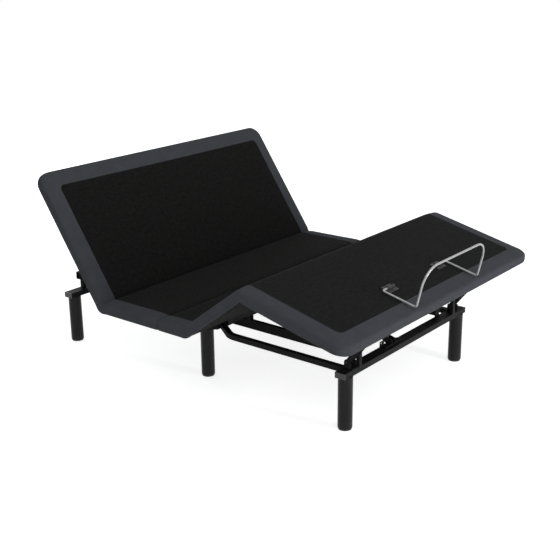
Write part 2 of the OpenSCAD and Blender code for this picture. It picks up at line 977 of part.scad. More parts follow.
// U-shaped brackets of the foot links, on the foot rail
module link_brackets() {
    inner = link_width / 2 + side_fit;
    radius = 12;
    back_reach = 22;
    front_reach = 28;
    color(frame_black)
        placed()
            both_sides()
                translate([link_x, 0, 0]) {
                    box([-inner - plate, link_pivot[0] - front_reach, rail_top],
                        [inner + plate, link_pivot[0] + back_reach, rail_top + 3]);
                    for (side = [-1, 1])
                        translate([side * (inner + plate / 2), 0, 0])
                            difference() {
                                union() {
                                    box([-plate / 2, link_pivot[0] - radius - 6, rail_top + 3],
                                        [plate / 2, link_pivot[0] + radius, link_pivot[1]]);
                                    translate([0, link_pivot[0], link_pivot[1]])
                                        bar_x(radius, plate);
                                }
                                translate([0, link_pivot[0], link_pivot[1]])
                                    bar_x(link_pin_radius + pin_fit, plate + 2);
                            }
                }
}

// A shallow plastic case that hangs from the seat board, with sockets in its foot side
module case_box(x, y, size, sockets) {
    socket = [12, 6, 9];
    color(plastic)
        placed()
            translate([x, y, deck_bottom - size[2]])
                difference() {
                    cube(size);
                    for (i = [1:sockets])
                        translate([size[0] * i / (sockets + 1) - socket[0] / 2, -1, size[2] / 2 - socket[2] / 2])
                            cube(socket);
                }
}

module control_box() {
    case_box(80, 62, [150, 70, 34], 4);
}

module power_supply() {
    case_box(90, -seat_foot_length + 48, [120, 44, 30], 2);
}

// ---------------------------------------------------------------------------------------------
// Seat: two fixed half sections that meet at the seam

module seat_half_board(length) {
    board_shape(board_inset, length - board_inset, 1, 0);
}

module seat_half_cover(length, half_turn) {
    difference() {
        intersection() {
            middle_slab(0, length - seam_gap / 2);
            along_x(deck_width + 2)
                fold_outline(half_turn, length);
        }
        board_pocket(board_inset, length - board_inset, 1);
        field_recess(0, length, 1);
        hinge_relief();
    }
}

module seat_boards() {
    color(ply) {
        on_seat_head()
            seat_half_board(seat_head_length);
        on_seat_foot()
            seat_half_board(seat_foot_length);
    }
}

module seat_covers() {
    color(charcoal) {
        on_seat_head()
            seat_half_cover(seat_head_length, back_v);
        on_seat_foot()
            seat_half_cover(seat_foot_length, thigh_v);
    }
}

module seat_tops() {
    color(field_black) {
        on_seat_head()
            field_shape(field_start(back_v), seat_head_length - seam_gap / 2, 1);
        on_seat_foot()
            field_shape(field_start(thigh_v), seat_foot_length - seam_gap / 2, 1);
    }
}

module seat_hinge_leaves() {
    on_seat_head()
        hinge_leaves(leaf_length, -axis_depth, -board_depth, false);
    on_seat_foot()
        hinge_leaves(leaf_length, -axis_depth, -board_depth, false);
}

// Pins of the back hinge and the thigh hinge
module fold_hinge_pins() {
    color(steel)
        placed()
            for (axis = [back_axis, thigh_axis])
                for (x = hinge_places)
                    translate([x, axis[0], axis[1]])
                        bar_x(hinge_pin_radius, hinge_length);
}

// ---------------------------------------------------------------------------------------------
// Frames and levers under the moving sections, drawn in a section frame

// Two stringers and the cross bars between them
module under_frame(from, to, bars) {
    color(frame_black)
        translate([0, 0, -deck_thickness - stringer_depth]) {
            both_sides()
                translate([stringer_x, 0, 0])
                    tube_y(from, to, stringer_width, stringer_depth);
            for (y = bars)
                translate([0, y, 0])
                    tube_x(2 * stringer_x - stringer_width, stringer_width, stringer_depth);
        }
}

// Pair of lever plates with a slot for the actuator's pin
module lever(r, lead, play) {
    pin = lever_pin(r, lead);
    color(frame_black)
        for (side = [-1, 1])
            translate([side * (lever_gap + lever_plate / 2), 0, 0])
                difference() {
                    union() {
                        along_x(lever_plate)
                            polygon([
                                [lever_start, -deck_thickness],
                                [lever_end, -deck_thickness],
                                [lever_end, -deck_thickness - stringer_depth],
                                [pin[0] + lever_boss * sin(45), -pin[1] - lever_boss * cos(45)],
                                [pin[0] - lever_boss * sin(30), -pin[1] + lever_boss * cos(30)]
                            ]);
                        translate([0, pin[0], -pin[1]])
                            bar_x(lever_boss, lever_plate);
                    }
                    translate([0, pin[0], -pin[1]])
                        rotate([-lead, 0, 0])
                            cube([lever_plate + 2, 2 * (drive_pin_radius + play[0]), 2 * (drive_pin_radius + play[1])],
                                center = true);
                }
}

// ---------------------------------------------------------------------------------------------
// Back section

module back_board() {
    color(ply)
        on_back()
            board_shape(board_inset, back_length - rim_width, corner_radius - rim_width, 0);
}

module back_cover() {
    color(charcoal)
        on_back()
            difference() {
                intersection() {
                    end_slab(back_length);
                    along_x(deck_width + 2)
                        fold_outline(back_v, back_length);
                }
                board_pocket(board_inset, back_length - rim_width, corner_radius - rim_width);
                field_recess(0, back_length - border_width, field_radius);
                hinge_relief();
            }
}

module back_top() {
    color(field_black)
        on_back()
            field_shape(field_start(back_v), back_length - border_width, field_radius);
}

module back_frame() {
    on_back()
        under_frame(back_stringer_from, back_stringer_to, [lever_cross, back_stringer_to - back_cross_lap]);
}

module back_lever() {
    on_back()
        lever(back_lever_radius, back_lever_lead, back_play);
}

module back_hinge_leaves() {
    on_back()
        hinge_leaves(leaf_length, -axis_depth, -board_depth, true);
}

// ---------------------------------------------------------------------------------------------
// Thigh section

module thigh_board() {
    color(ply)
        on_thigh()
            board_shape(board_inset, thigh_length - board_inset, 1, 0);
}

module thigh_cover() {
    color(charcoal)
        on_thigh()
            difference() {
                union() {
                    intersection() {
                        middle_slab(0, thigh_length);
                        along_x(deck_width + 2)
                            fold_outline(thigh_v, thigh_length);
                    }
                    knee_nose();
                }
                board_pocket(board_inset, thigh_length - board_inset, 1);
                field_recess(0, thigh_length, 1);
                nose_field(deck_width - 2 * border_width + 2 * pocket_fit, field_thickness, -1);
                hinge_relief();
                knee_relief(thigh_length);
            }
}

module thigh_top() {
    width = deck_width - 2 * border_width;
    color(field_black)
        on_thigh() {
            translate([-width / 2, field_start(thigh_v), -field_thickness])
                cube([width, thigh_length - field_start(thigh_v), field_thickness]);
            nose_field(width, field_thickness, 0);
        }
}

module thigh_frame() {
    on_thigh()
        under_frame(thigh_stringer_from, thigh_stringer_end, [lever_cross, thigh_stringer_end - thigh_cross_lap]);
}

module thigh_lever() {
    on_thigh()
        translate([foot_actuator_x, 0, 0])
            lever(thigh_lever_radius, thigh_lever_lead, thigh_play);
}

module thigh_hinge_leaves() {
    on_thigh() {
        hinge_leaves(leaf_length, -axis_depth, -board_depth, true);
        translate([0, thigh_length, 0])
            mirror([0, 1, 0])
                hinge_leaves(leaf_length, -deck_thickness, -deck_thickness - leaf, false);
    }
}

module knee_hinge_pins() {
    color(steel)
        on_thigh()
            for (x = hinge_places)
                translate([x, thigh_length, -deck_thickness])
                    bar_x(hinge_pin_radius, hinge_length);
}

// ---------------------------------------------------------------------------------------------
// Calf section

module calf_board() {
    color(ply)
        on_calf()
            board_shape(calf_board_start, calf_length - rim_width, corner_radius - rim_width, 0);
}

module calf_cover() {
    color(charcoal)
        on_calf()
            difference() {
                intersection() {
                    end_slab(calf_length);
                    along_x(deck_width + 2)
                        calf_outline(calf_length);
                }
                board_pocket(calf_board_start, calf_length - rim_width, corner_radius - rim_width);
                field_recess(tip_start + field_tip, calf_length - border_width, field_radius);
                knee_relief(0);
            }
}

module calf_top() {
    color(field_black)
        on_calf()
            field_shape(tip_start + field_tip + pocket_fit, calf_length - border_width, field_radius);
}

module calf_frame() {
    on_calf()
        under_frame(calf_stringer_start, calf_stringer_end,
            [calf_stringer_start + calf_cross_lap, calf_stringer_end - calf_cross_lap]);
}

module calf_hinge_leaves() {
    on_calf()
        hinge_leaves(calf_board_start + leaf_length - board_inset, -deck_thickness, -deck_thickness - leaf, true);
}

// Slotted shoes under the calf board that hold the links' upper pins
module link_tracks() {
    inner = link_width / 2 + side_fit + 1;
    sheet = 2;
    ear = 3;
    front = 14;
    depth = link_drop + link_pin_radius + track_slack + 6;
    slot = [track_travel[0] - link_pin_radius - track_slack, track_travel[1] + link_pin_radius + track_slack];
    color(zinc)
        on_calf()
            both_sides()
                translate([link_x, link_reach, -deck_thickness]) {
                    box([-inner - ear, slot[0] - front, -sheet], [inner + ear, slot[1] + 8, 0]);
                    for (side = [-1, 1])
                        translate([side * (inner + ear / 2), 0, 0])
                            difference() {
                                box([-ear / 2, slot[0] - front, -depth], [ear / 2, slot[1] + 8, -sheet]);
                                box([-ear, slot[0], -link_drop - link_pin_radius - track_slack],
                                    [ear, slot[1], -link_drop + link_pin_radius + track_slack]);
                            }
                }
}

// Plates on the deck with a bored saddle each, for the retainer's ends
module retainer_brackets() {
    radius = retainer_rod + retainer_saddle_wall;
    middle = (retainer_plate_from + retainer_plate_to) / 2;
    length = retainer_plate_to - retainer_plate_from - 2 * retainer_saddle_margin;
    color(frame_black)
        on_calf()
            both_sides()
                difference() {
                    union() {
                        box([retainer_plate_from, retainer_pivot - retainer_plate_lead, 0],
                            [retainer_plate_to, retainer_pivot - retainer_plate_lead + retainer_plate_length,
                                retainer_plate_height]);
                        translate([middle, retainer_pivot, retainer_rise])
                            bar_x(radius, length);
                        box([middle - length / 2, retainer_pivot - radius, retainer_plate_height],
                            [middle + length / 2, retainer_pivot + radius, retainer_rise]);
                    }
                    translate([middle, retainer_pivot, retainer_rise])
                        bar_x(retainer_rod + pin_fit, length + 2);
                }
}

module retainer_screws() {
    middle = (retainer_plate_from + retainer_plate_to) / 2;
    color(steel)
        on_calf()
            both_sides()
                for (y = [retainer_pivot - 18, retainer_pivot + 16])
                    translate([middle, y, retainer_plate_height])
                        cylinder(r = 4.5, h = 2);
}

// ---------------------------------------------------------------------------------------------
// Mattress retainer: one bent round rod

// Quarter bend of the rod in the plane of its two directions
module rod_bend(radius) {
    rotate_extrude(angle = 90)
        translate([radius, 0])
            circle(r = retainer_rod);
}

module retainer_bar() {
    side_run = retainer_bow - retainer_pivot - 2 * retainer_bend;
    rise = retainer_height - retainer_rise - retainer_bend - retainer_corner;
    half_top = retainer_x - retainer_corner;
    color(steel)
        on_calf() {
            both_sides() {
                translate([(retainer_inner + retainer_x - retainer_bend) / 2, retainer_pivot, retainer_rise])
                    bar_x(retainer_rod, retainer_x - retainer_bend - retainer_inner);
                translate([retainer_x - retainer_bend, retainer_pivot + retainer_bend, retainer_rise])
                    rotate([0, 0, -90])
                        rod_bend(retainer_bend);
                translate([retainer_x, retainer_pivot + retainer_bend, retainer_rise])
                    rotate([-90, 0, 0])
                        cylinder(r = retainer_rod, h = side_run);
                translate([retainer_x, retainer_bow - retainer_bend, retainer_rise + retainer_bend])
                    rotate([0, 90, 0])
                        rod_bend(retainer_bend);
                translate([retainer_x, retainer_bow, retainer_rise + retainer_bend])
                    cylinder(r = retainer_rod, h = rise);
                translate([half_top, retainer_bow, retainer_height - retainer_corner])
                    rotate([90, 0, 0])
                        rod_bend(retainer_corner);
            }
            translate([0, retainer_bow, retainer_height])
                bar_x(retainer_rod, 2 * half_top);
        }
}

// ---------------------------------------------------------------------------------------------
// Foot links

// One link, from its lower pivot along -Y when laid level, drawn at its modelled angle
module foot_link(x) {
    inner = link_width / 2 - link_plate;
    color(frame_black)
        placed()
            translate([x, link_pivot[0], link_pivot[1]])
                rotate([-link_angle, 0, 0])
                    mirror([0, 1, 0]) {
                        for (side = [-1, 1])
                            translate([side * (inner + link_plate / 2), 0, 0])
                                difference() {
                                    union() {
                                        bar_x(link_half_height, link_plate);
                                        translate([0, link_length, 0])
                                            bar_x(link_half_height, link_plate);
                                        box([-link_plate / 2, 0, -link_half_height],
                                            [link_plate / 2, link_length, link_half_height]);
                                    }
                                    bar_x(link_pin_radius + pin_fit, link_plate + 2);
                                }
                        box([-inner, link_web_inset, link_half_height - link_plate],
                            [inner, link_length - link_web_inset, link_half_height]);
                        translate([0, link_length, 0])
                            bar_x(link_pin_radius, link_width + 2 * side_fit + 10);
                    }
}

module left_link() {
    foot_link(-link_x);
}

module right_link() {
    foot_link(link_x);
}

// ---------------------------------------------------------------------------------------------
// Actuators, drawn along +Y from the tail pin

module on_actuator(x, tail, pin) {
    placed()
        translate([x, tail[0], tail[1]])
            rotate([atan2(pin[1] - tail[1], pin[0] - tail[0]), 0, 0])
                children();
}

// Gear case with tail eye and outer tube; the bore for the rod starts after the gear case
module actuator_housing(gear_from, gear_to, barrel_end) {
    gear_half = 22;
    difference() {
        union() {
            bar_x(eye_radius, 2 * eye_half);
            box([-eye_half, 0, -8], [eye_half, gear_from, 8]);
            box([-gear_half, gear_from, -20], [gear_half + 34, gear_to, 20]);
            translate([0, gear_to, 0])
                rotate([-90, 0, 0])
                    cylinder(r = barrel_radius, h = barrel_end - gear_to);
        }
        bar_x(drive_pin_radius + pin_fit, 2 * eye_half + 2);
        translate([0, gear_to, 0])
            rotate([-90, 0, 0])
                cylinder(r = rod_radius + rod_bore_fit, h = barrel_end - gear_to + 1);
    }
}

// Motor beside the outer tube
module actuator_motor(gear_to, length) {
    motor_radius = 17;
    translate([38, gear_to, 0])
        rotate([-90, 0, 0]) {
            cylinder(r = motor_radius, h = length);
            translate([0, 0, length])
                cylinder(r = motor_radius - 6, h = 6);
        }
}

// Rod with its eye and the drive pin through it
module actuator_rod(reach, length) {
    difference() {
        union() {
            translate([0, reach - length, 0])
                rotate([-90, 0, 0])
                    cylinder(r = rod_radius, h = length - eye_radius / 2);
            translate([0, reach, 0])
                bar_x(eye_radius, 2 * eye_half);
        }
    }
    translate([0, reach, 0])
        bar_x(drive_pin_radius, 2 * (lever_gap + lever_plate) + 8);
}

module head_actuator_housing() {
    color(plastic)
        on_actuator(0, head_tail, back_pin)
            actuator_housing(head_gear[0], head_gear[1], head_barrel_end);
}

module head_actuator_motor() {
    color(plastic)
        on_actuator(0, head_tail, back_pin)
            actuator_motor(head_gear[1], 88);
}

module head_actuator_rod() {
    color(steel)
        on_actuator(0, head_tail, back_pin)
            actuator_rod(norm(back_pin - head_tail), head_rod_length);
}

module foot_actuator_housing() {
    color(plastic)
        on_actuator(foot_actuator_x, foot_tail, thigh_pin)
            actuator_housing(foot_gear[0], foot_gear[1], foot_barrel_end);
}

module foot_actuator_motor() {
    color(plastic)
        on_actuator(foot_actuator_x, foot_tail, thigh_pin)
            actuator_motor(foot_gear[1], 96);
}

module foot_actuator_rod() {
    color(steel)
        on_actuator(foot_actuator_x, foot_tail, thigh_pin)
            actuator_rod(norm(thigh_pin - foot_tail), foot_rod_length);
}

head_rail();
foot_rail();
rail_end_caps();
head_side_tubes();
foot_side_tubes();
fold_cross_bars();
inner_rails();
inner_rail_brackets();
fold_plates();
fold_bolts();
seat_bearers();
bearer_uprights();
foot_rest_posts();
head_rest_bar();
rest_pads();
legs();
leg_glides();
leg_studs();
leg_gussets();
actuator_clevises();
pivot_pins();
link_brackets();
control_box();
power_supply();
seat_boards();
seat_covers();
seat_tops();
seat_hinge_leaves();
fold_hinge_pins();
back_board();
back_cover();
back_top();
back_frame();
back_lever();
back_hinge_leaves();
thigh_board();
thigh_cover();
thigh_top();
thigh_frame();
thigh_lever();
thigh_hinge_leaves();
knee_hinge_pins();
calf_board();
calf_cover();
calf_top();
calf_frame();
calf_hinge_leaves();
link_tracks();
retainer_brackets();
retainer_screws();
left_link();
right_link();
retainer_bar();
head_actuator_housing();
head_actuator_motor();
head_actuator_rod();
foot_actuator_housing();
foot_actuator_motor();
foot_actuator_rod();
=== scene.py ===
import json
import math

import bpy
import numpy as np
from mathutils import Matrix, Vector


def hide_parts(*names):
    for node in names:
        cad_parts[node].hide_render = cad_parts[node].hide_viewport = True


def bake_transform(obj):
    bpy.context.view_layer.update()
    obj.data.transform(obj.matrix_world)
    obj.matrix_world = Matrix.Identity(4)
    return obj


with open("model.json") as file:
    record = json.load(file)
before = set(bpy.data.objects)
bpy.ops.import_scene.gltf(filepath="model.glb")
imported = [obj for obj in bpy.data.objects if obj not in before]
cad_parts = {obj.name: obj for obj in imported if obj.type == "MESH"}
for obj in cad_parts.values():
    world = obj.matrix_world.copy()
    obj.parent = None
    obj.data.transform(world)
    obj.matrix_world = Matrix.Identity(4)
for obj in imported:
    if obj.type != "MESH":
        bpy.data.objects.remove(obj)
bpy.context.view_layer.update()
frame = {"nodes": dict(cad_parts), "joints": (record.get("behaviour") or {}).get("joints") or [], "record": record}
scene = bpy.context.scene
NODES = frame["nodes"]
JOINTS = {j["name"]: j for j in frame["joints"]}
SLOT_OF = {p["node"]: p["material_slot"] for p in frame["record"]["subparts"]}

# ---------------------------------------------------------------------------------------------
# Camera: the view of the reference picture, solved from the deck's edges

AZIMUTH, ELEVATION, ROLL = math.radians(-51.522), math.radians(18.356), math.radians(-0.557)
AIM = Vector((0.0, -0.0209, 0.3799))
DISTANCE = 4.7725
LENS = 65.365


def add_camera():
    back = Vector((
        math.sin(AZIMUTH) * math.cos(ELEVATION),
        -math.cos(AZIMUTH) * math.cos(ELEVATION),
        math.sin(ELEVATION),
    ))
    right = Vector((math.cos(AZIMUTH), math.sin(AZIMUTH), 0.0))
    up = back.cross(right)
    right2 = right * math.cos(ROLL) + up * math.sin(ROLL)
    up2 = up * math.cos(ROLL) - right * math.sin(ROLL)
    data = bpy.data.cameras.new("camera")
    data.lens = LENS
    data.sensor_width = 36.0
    data.sensor_fit = "HORIZONTAL"
    data.clip_end = 60.0
    camera = bpy.data.objects.new("camera", data)
    scene.collection.objects.link(camera)
    place = Matrix((right2, up2, back)).transposed().to_4x4()
    place.translation = AIM + back * DISTANCE
    camera.matrix_world = place
    scene.camera = camera


add_camera()

# ---------------------------------------------------------------------------------------------
# Node materials

# Where nearly all of a noise texture's values lie
NOISE_BAND = (0.3, 0.7)


class Shader:
    """The node tree of a procedural material, or of the world, under construction."""

    def __init__(self, name, world=False):
        self.owner = (bpy.data.worlds if world else bpy.data.materials).new(name)
        self.owner.use_nodes = True
        self.tree = self.owner.node_tree
        self.tree.nodes.clear()
        self.out = self.add("ShaderNodeOutputWorld" if world else "ShaderNodeOutputMaterial")

    def put(self, socket, value):
        if isinstance(value, bpy.types.NodeSocket):
            self.tree.links.new(value, socket)
        else:
            socket.default_value = value

    def add(self, kind, sockets=None, **settings):
        node = self.tree.nodes.new(kind)
        for key, value in settings.items():
            setattr(node, key, value)
        for key, value in (sockets or {}).items():
            self.put(node.inputs[key], value)
        return node

    def place(self):
        """Position on the piece at rest, in metres."""
        return self.add("ShaderNodeTexCoord").outputs["Object"]

    def attribute(self, name):
        return self.add("ShaderNodeAttribute", attribute_name=name).outputs["Vector"]

    def pair(self, kind, a, b, **settings):
        """The first output of a node whose first two inputs are a and b."""
        node = self.add(kind, **settings)
        self.put(node.inputs[0], a)
        self.put(node.inputs[1], b)
        return node.outputs[0]

    def math(self, operation, a, b=0.0):
        return self.pair("ShaderNodeMath", a, b, operation=operation)

    def split(self, vector):
        return self.add("ShaderNodeSeparateXYZ", {"Vector": vector}).outputs

    def scaled(self, vector, factors):
        return self.pair("ShaderNodeVectorMath", vector, factors, operation="MULTIPLY")

    def noise(self, vector, scale, detail=3.0, rough=0.5, distortion=0.0):
        return self.add("ShaderNodeTexNoise", {
            "Vector": vector, "Scale": scale, "Detail": detail,
            "Roughness": rough, "Distortion": distortion,
        }).outputs["Fac"]

    def cells(self, vector, scale):
        node = self.add("ShaderNodeTexVoronoi", {"Vector": vector, "Scale": scale})
        return node.outputs["Distance"]

    def bands(self, vector, scale, direction):
        return self.add("ShaderNodeTexWave", {"Vector": vector, "Scale": scale},
                        wave_type="BANDS", bands_direction=direction).outputs["Fac"]

    def spread(self, value, low, high, to_low=0.0, to_high=1.0):
        return self.add("ShaderNodeMapRange", {
            "Value": value, "From Min": low, "From Max": high,
            "To Min": to_low, "To Max": to_high,
        }).outputs[0]

    def mix(self, factor, a, b):
        node = self.add("ShaderNodeMix", data_type="RGBA")
        self.put(node.inputs[0], factor)
        for socket, value in ((node.inputs[6], a), (node.inputs[7], b)):
            self.put(socket, value if isinstance(value, bpy.types.NodeSocket) else (*value, 1.0))
        return node.outputs[2]

    def bump(self, height, distance, normal=None):
        sockets = {"Height": height, "Distance": distance, "Strength": 1.0}
        if normal is not None:
            sockets["Normal"] = normal
        return self.add("ShaderNodeBump", sockets).outputs[0]

    def seen_ray(self):
        """One for a ray from the camera, off a glossy surface or through a clear one."""
        rays = self.add("ShaderNodeLightPath").outputs
        through = self.math("MAXIMUM", rays["Is Glossy Ray"], rays["Is Transmission Ray"])
        return self.math("MAXIMUM", rays["Is Camera Ray"], through)

    def close(self, result):
        self.put(self.out.inputs["Surface"], result)
        return self.owner

    def surface(self, sockets):
        return self.close(self.add("ShaderNodeBsdfPrincipled", sockets).outputs[0])


def powder_coat():
    """Matt black powder coat on steel tube: orange peel, dusty patches, small pale scuffs."""
    s = Shader("black_powder_coat")
    at = s.place()
    dust = s.spread(s.noise(at, 9.0, 4.0, 0.6), 0.4, 0.75)
    scuffs = s.spread(s.noise(s.scaled(at, (1.0, 1.0, 3.0)), 130.0, 2.0, 0.7), 0.7, 0.8)
    base = s.mix(dust, (0.0165, 0.0165, 0.0168), (0.0230, 0.0230, 0.0233))
    colour = s.mix(s.math("MULTIPLY", scuffs, 0.4), base, (0.03, 0.03, 0.03))
    rough = s.spread(s.noise(at, 24.0, 3.0, 0.6), *NOISE_BAND, 0.48, 0.6)
    peel = s.bump(s.noise(at, 850.0, 1.0, 0.5), 0.00012)
    return s.surface({
        "Base Color": colour, "Roughness": rough, "Normal": peel,
        "Specular IOR Level": 0.03,
    })


def leg_finish():
    """Black satin legs with faint drawn streaks and a scuffed foot."""
    s = Shader("black_leg_gloss")
    at = s.place()
    streaks = s.noise(s.scaled(at, (1.0, 1.0, 0.06)), 95.0, 3.0, 0.6)
    tone = s.spread(streaks, *NOISE_BAND)
    colour = s.mix(tone, (0.0060, 0.0060, 0.0061), (0.0090, 0.0090, 0.0091))
    height = s.split(at)[2]
    foot = s.spread(height, 0.0, 0.05, 1.0, 0.0)
    scuffed = s.math("MULTIPLY", foot, s.spread(s.noise(at, 160.0, 3.0, 0.7), 0.5, 0.62))
    colour = s.mix(scuffed, colour, (0.035, 0.034, 0.033))
    rough = s.spread(streaks, *NOISE_BAND, 0.30, 0.38)
    return s.surface({
        "Base Color": colour, "Roughness": rough,
        "Normal": s.bump(s.noise(at, 420.0, 2.0), 0.00008),
        "Specular IOR Level": 0.15,
    })


def moulded_plastic():
    """Black moulded plastic with a fine spark-eroded grain."""
    s = Shader("black_moulded_plastic")
    at = s.place()
    grain = s.cells(at, 1400.0)
    patches = s.noise(at, 30.0, 3.0)
    colour = s.mix(s.spread(patches, *NOISE_BAND), (0.014, 0.014, 0.015), (0.024, 0.024, 0.025))
    return s.surface({
        "Base Color": colour, "Roughness": s.spread(patches, *NOISE_BAND, 0.42, 0.56),
        "Normal": s.bump(grain, 0.00015),
    })


def black_zinc():
    """Blackened zinc of pins, bolts and screws."""
    s = Shader("black_zinc")
    at = s.place()
    rubbed = s.noise(at, 90.0, 4.0, 0.65)
    colour = s.mix(s.spread(rubbed, 0.35, 0.75), (0.012, 0.012, 0.013), (0.035, 0.035, 0.036))
    return s.surface({
        "Base Color": colour, "Roughness": s.spread(rubbed, *NOISE_BAND, 0.34, 0.5),
        "Specular IOR Level": 0.2,
        "Normal": s.bump(s.cells(at, 420.0), 0.00005),
    })


def bracket_coat():
    """Dark grey satin coat of the retainer's saddle plates."""
    s = Shader("dark_grey_satin")
    at = s.place()
    worn = s.noise(at, 70.0, 3.0, 0.6)
    colour = s.mix(s.spread(worn, *NOISE_BAND), (0.022, 0.021, 0.020), (0.040, 0.039, 0.038))
    return s.surface({
        "Base Color": colour, "Roughness": s.spread(worn, *NOISE_BAND, 0.4, 0.52),
        "Specular IOR Level": 0.15,
        "Normal": s.bump(s.noise(at, 900.0, 1.0), 0.00008),
    })


def felt_pad():
    """Pressed grey-black felt."""
    s = Shader("pressed_felt")
    at = s.place()
    fibres = s.noise(at, 700.0, 4.0, 0.7, 1.5)
    colour = s.mix(s.spread(fibres, *NOISE_BAND), (0.008, 0.008, 0.008), (0.022, 0.022, 0.022))
    return s.surface({
        "Base Color": colour, "Roughness": 0.95, "Sheen Weight": 0.05, "Specular IOR Level": 0.1,
        "Normal": s.bump(fibres, 0.0006),
    })


def zinc_plate():
    """Bright zinc plate with faint crystals and rubbed patches."""
    s = Shader("zinc_plate")
    at = s.place()
    crystals = s.cells(at, 260.0)
    rubbed = s.noise(at, 55.0, 4.0, 0.65)
    colour = s.mix(s.spread(crystals, 0.1, 0.8), (0.42, 0.43, 0.45), (0.60, 0.61, 0.63))
    return s.surface({
        "Base Color": colour, "Metallic": 1.0,
        "Roughness": s.spread(rubbed, *NOISE_BAND, 0.27, 0.48),
        "Normal": s.bump(crystals, 0.00005),
    })


def faced_board():
    """Black faced plywood: long grain with open pores, no shine."""
    s = Shader("dark_faced_board")
    at = s.place()
    grain = s.noise(s.scaled(at, (4.0, 90.0, 90.0)), 1.4, 5.0, 0.65, 0.4)
    pores = s.spread(s.noise(s.scaled(at, (14.0, 420.0, 420.0)), 1.0, 2.0, 0.6), 0.62, 0.7)
    colour = s.mix(s.spread(grain, *NOISE_BAND), (0.028, 0.0275, 0.027), (0.052, 0.051, 0.049))
    colour = s.mix(pores, colour, (0.012, 0.012, 0.012))
    return s.surface({
        "Base Color": colour, "Roughness": s.spread(grain, *NOISE_BAND, 0.6, 0.78),
        "Specular IOR Level": 0.0,
        "Normal": s.bump(grain, 0.0004),
    })


def satin_rod():
    """Light grey satin powder coat of the retainer."""
    s = Shader("light_satin_rod")
    at = s.place()
    flow = s.noise(at, 60.0, 3.0)
    colour = s.mix(s.spread(flow, *NOISE_BAND), (0.30, 0.30, 0.30), (0.38, 0.38, 0.38))
    return s.surface({
        "Base Color": colour, "Metallic": 0.35,
        "Roughness": s.spread(flow, *NOISE_BAND, 0.26, 0.36),
        "Normal": s.bump(s.noise(at, 900.0, 1.0), 0.00006),
    })


# Half the width of the cover, the width of its border and the corner radius of the field
HALF_WIDTH = 0.762
BORDER = 0.081
FIELD_CORNER = 0.025


def upholstery(name, field_end, dark, light):
    """Charcoal knit border round a black non-woven field, mapped on the unrolled cloth."""
    s = Shader(name)
    cloth = s.attribute("cloth")
    x, y, _ = s.split(cloth)
    # Signed distance to the field's outline, its far corners rounded
    qx = s.math("SUBTRACT", s.math("ABSOLUTE", x), HALF_WIDTH - BORDER - FIELD_CORNER)
    qy = s.math("SUBTRACT", y, field_end - FIELD_CORNER)
    outside = s.math("SQRT", s.math(
        "ADD",
        s.math("POWER", s.math("MAXIMUM", qx, 0.0), 2.0),
        s.math("POWER", s.math("MAXIMUM", qy, 0.0), 2.0),
    ))
    inside = s.math("MINIMUM", s.math("MAXIMUM", qx, qy), 0.0)
    edge = s.math("SUBTRACT", s.math("ADD", outside, inside), FIELD_CORNER)
    border = s.spread(edge, -0.0008, 0.0008)
    # Black non-woven: coarse clouds, short fibres
    clouds = s.noise(cloth, 62.0, 4.0, 0.62)
    fibres = s.noise(s.scaled(cloth, (1.0, 0.45, 1.0)), 520.0, 3.0, 0.65, 0.8)
    mixed = s.math("ADD", s.math("MULTIPLY", clouds, 0.62), s.math("MULTIPLY", fibres, 0.38))
    tone = s.spread(mixed, 0.36, 0.64)
    field = s.mix(tone, dark, light)
    # Charcoal knit: fine ribs both ways, soft shade changes
    ribs = s.math("MULTIPLY", s.bands(cloth, 130.0, "X"), s.bands(cloth, 100.0, "Y"))
    shade = s.noise(cloth, 14.0, 4.0, 0.6)
    heather = s.noise(cloth, 380.0, 2.0, 0.7)
    knit = s.mix(s.spread(shade, *NOISE_BAND), (0.040, 0.041, 0.047), (0.051, 0.052, 0.060))
    knit = s.mix(s.math("MULTIPLY", s.spread(heather, 0.35, 0.7), 0.5), knit, (0.072, 0.075, 0.083))
    knit = s.mix(s.math("MULTIPLY", ribs, 0.35), knit, (0.024, 0.025, 0.029))
    # The sewn edge draws in a shallow furrow. A dark line is painted along it: partly the dark thread, partly
    # painted shade in the furrow
    furrow_and_shade = s.spread(s.math("ABSOLUTE", edge), 0.0, 0.004)
    colour = s.mix(border, field, knit)
    # Painted shade: the cloth is darkened along the furrow of the sewn edge
    colour = s.mix(s.spread(furrow_and_shade, 0.0, 0.45, 0.7, 0.0), colour, (0.006, 0.006, 0.007))
    weave = s.bump(s.mix(border, (0.0, 0.0, 0.0), (1.0, 1.0, 1.0)), 0.0004)
    relief = s.math("ADD", s.math("MULTIPLY", fibres, 0.5), s.math("MULTIPLY", ribs, 0.4))
    normal = s.bump(relief, 0.0007, s.bump(furrow_and_shade, 0.0022, weave))
    return s.surface({
        "Base Color": colour, "Roughness": s.spread(border, 0.0, 1.0, 0.93, 0.86),
        "Normal": normal, "Sheen Weight": 0.015, "Sheen Roughness": 0.4,
        "Specular IOR Level": 0.06,
    })


FINISHES = {
    "frame_steel": powder_coat(),
    "leg_plastic": leg_finish(),
    "black_plastic": moulded_plastic(),
    "felt": felt_pad(),
    "zinc_steel": zinc_plate(),
    "board": faced_board(),
    "retainer_metal": satin_rod(),
    "blackened_steel": black_zinc(),
    "bracket_metal": bracket_coat(),
}


def dress(obj, finish):
    obj.data.materials.clear()
    obj.data.materials.append(finish)


# The fabric slot has no finish here: the upholstery below stands for its nodes
for node_name, node_object in NODES.items():
    finish = FINISHES.get(SLOT_OF[node_name])
    if finish:
        for material_slot in node_object.material_slots:
            material_slot.material = finish

# ---------------------------------------------------------------------------------------------
# Upholstered strips. Each is built flat as an unrolled strip, blown up a little by a cloth
# simulation, then bent round its hinges into the rest pose.
# Strip coordinates, in metres: x across, s along the strip, t down from the deck's top.

# The cover's cross section: its full depth, the boards' top and the hinge axes below the deck's top
THICKNESS = 0.050
BOARD_DEPTH = 0.030
AXIS_DEPTH = 0.028
